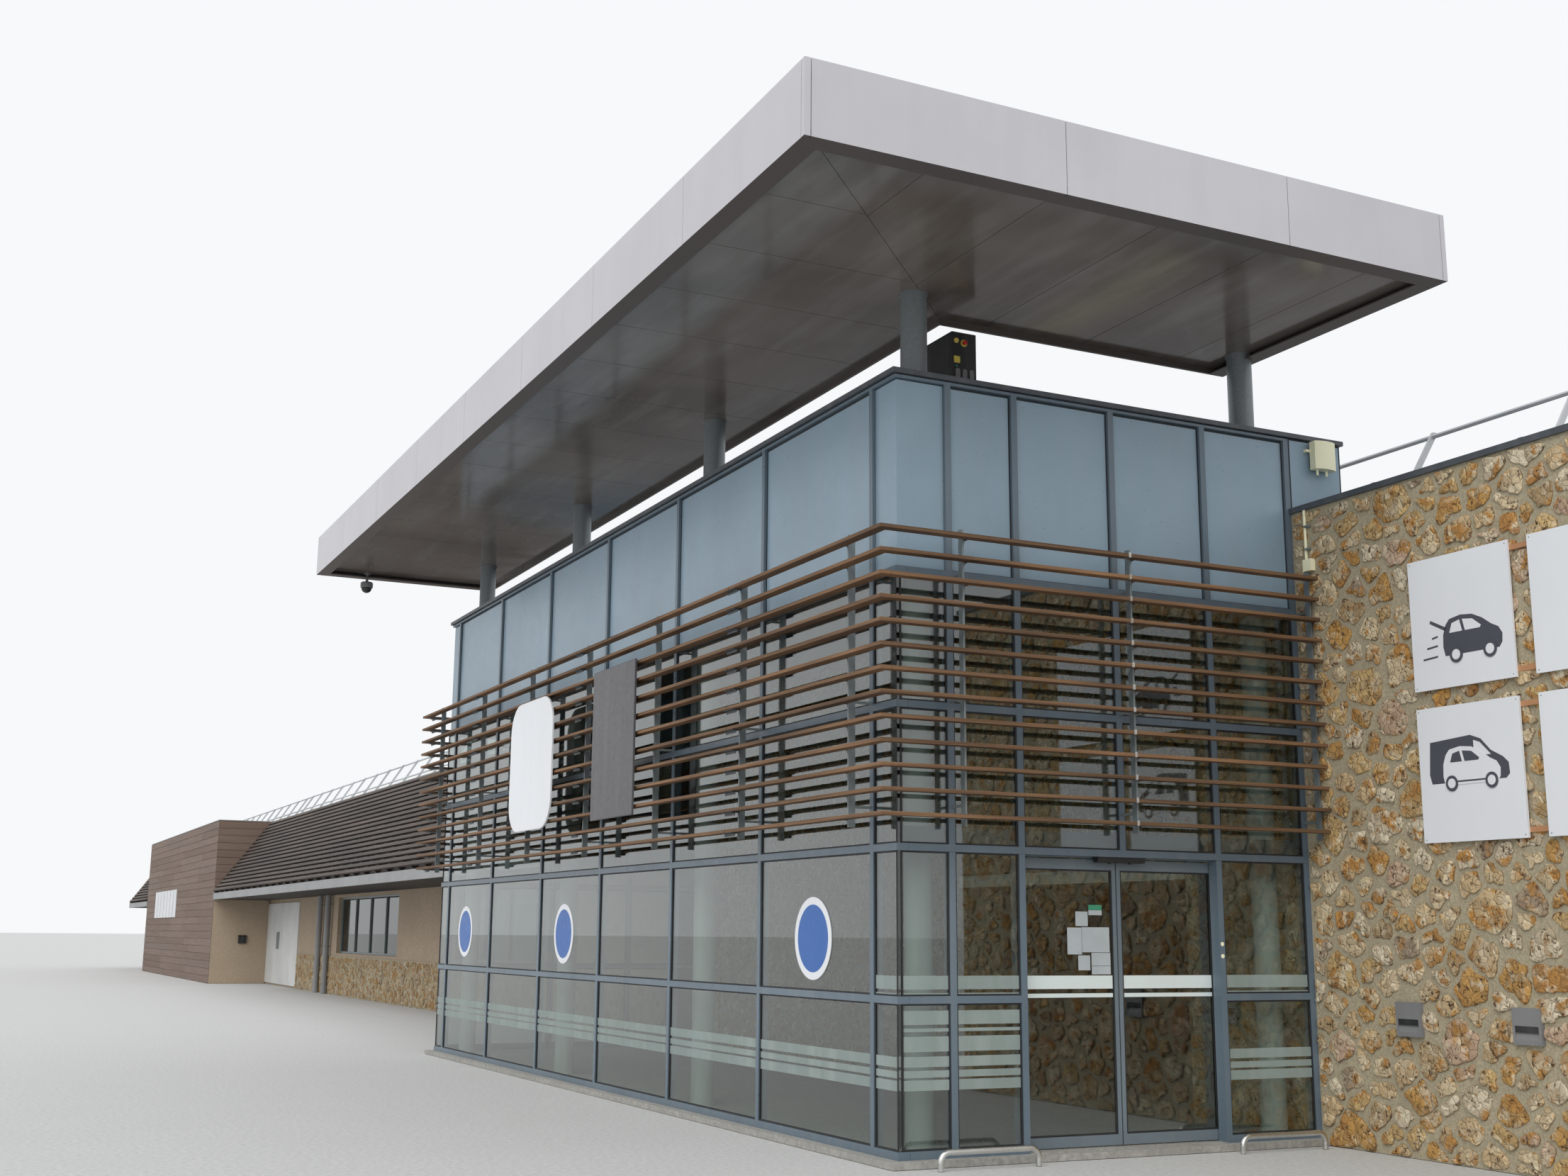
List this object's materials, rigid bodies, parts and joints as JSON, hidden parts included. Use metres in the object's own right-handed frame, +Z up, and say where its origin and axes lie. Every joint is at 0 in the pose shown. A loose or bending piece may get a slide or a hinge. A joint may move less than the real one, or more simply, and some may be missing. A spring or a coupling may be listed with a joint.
{
  "type": "supermarket building, 1:2 scale model",
  "caption": "Single-storey supermarket with a glazed entrance under a high canopy on round columns, a slatted arcade wing and a timber-clad block; doors slide.",
  "frame": {"origin": "the entrance pavilion's glass corner at ground level, on the underside of the floor slab", "axes": "+X along the door face to the stone wall, +Y back along the long glass side, +Z up"},
  "size_m": [10.9, 39.264, 3.655],
  "materials": {
    "floor_concrete": "matte concrete",
    "bluegrey_metal": "satin powder coat",
    "glass": "clear glass, faint green grey",
    "band_metal": "satin sheet metal",
    "roof_membrane": "matte roofing membrane",
    "galvanised": "weathered galvanised steel",
    "louvre_timber": "weathered timber",
    "canopy_grey": "light grey sheet metal",
    "soffit_brown": "semi-gloss dark panel",
    "door_metal": "satin aluminium",
    "stainless": "brushed stainless",
    "rubble_stone": "rubble stone in grey mortar",
    "dark_cap": "dark grey sheet metal",
    "sign_white": "blank white board",
    "rail_orange": "orange brown steel",
    "light_grey_box": "grey metal box",
    "cream_box": "cream plastic",
    "case_black": "matte black",
    "beige_tile": "beige wall tile",
    "white_panel": "white panel",
    "window_metal": "grey green window bars",
    "render_wall": "beige render",
    "slat_timber": "dark weathered timber",
    "roof_board": "dark roof board",
    "beam_steel": "grey steel channel",
    "block_boards": "brown timber boards"
  },
  "bodies": {
    "building": {"pavilion_floor": "floor_concrete", "glazing_frame": "bluegrey_metal", "door_frame": "bluegrey_metal", "glazing_glass": "glass", "band_upstand": "band_metal", "band_panels": "band_metal", "band_coping": "dark_cap", "pavilion_roof": "roof_membrane", "columns": "galvanised", "louvre_slats": "louvre_timber", "louvre_posts": "galvanised", "canopy_beams": "beam_steel", "canopy_deck": "roof_membrane", "canopy_fascia": "canopy_grey", "canopy_soffit": "soffit_brown", "door_operator": "door_metal", "bump_rails": "stainless", "stone_walls": "rubble_stone", "passage_lintel": "rubble_stone", "stone_wall_coping": "dark_cap", "sign_boards": "sign_white", "sign_rails": "rail_orange", "wall_lights": "light_grey_box", "wall_conduit_and_antenna": "cream_box", "equipment_case": "case_black", "hall_floor": "floor_concrete", "hall_roof": "roof_membrane", "wing_walls": "beige_tile", "wing_plinth": "rubble_stone", "white_panels": "white_panel", "window_frames": "window_metal", "window_glass": "glass", "back_wall": "render_wall", "party_walls": "render_wall", "arcade_boards": "roof_board", "arcade_rafters": "slat_timber", "arcade_slats": "slat_timber", "arcade_beam_and_cap": "beam_steel", "block_walls": "block_boards", "block_slabs": "floor_concrete", "block_posters": "sign_white", "roof_guard_rail": "galvanised"},
    "door_left": {"door_leaf_left": "door_metal", "door_glass_left": "glass"},
    "door_right": {"door_leaf_right": "door_metal", "door_glass_right": "glass"}
  },
  "joints": [
    {"name": "door_left_slide", "type": "slide", "parent": "building", "child": "door_left", "axis": [-1, 0, 0], "range_m": [0, 0.465]},
    {"name": "door_right_slide", "type": "slide", "parent": "building", "child": "door_right", "axis": [1, 0, 0], "range_m": [0, 0.465]}
  ],
  "couplings": [
    {"joint": "door_right_slide", "follows": "door_left_slide", "ratio": 1}
  ]
}
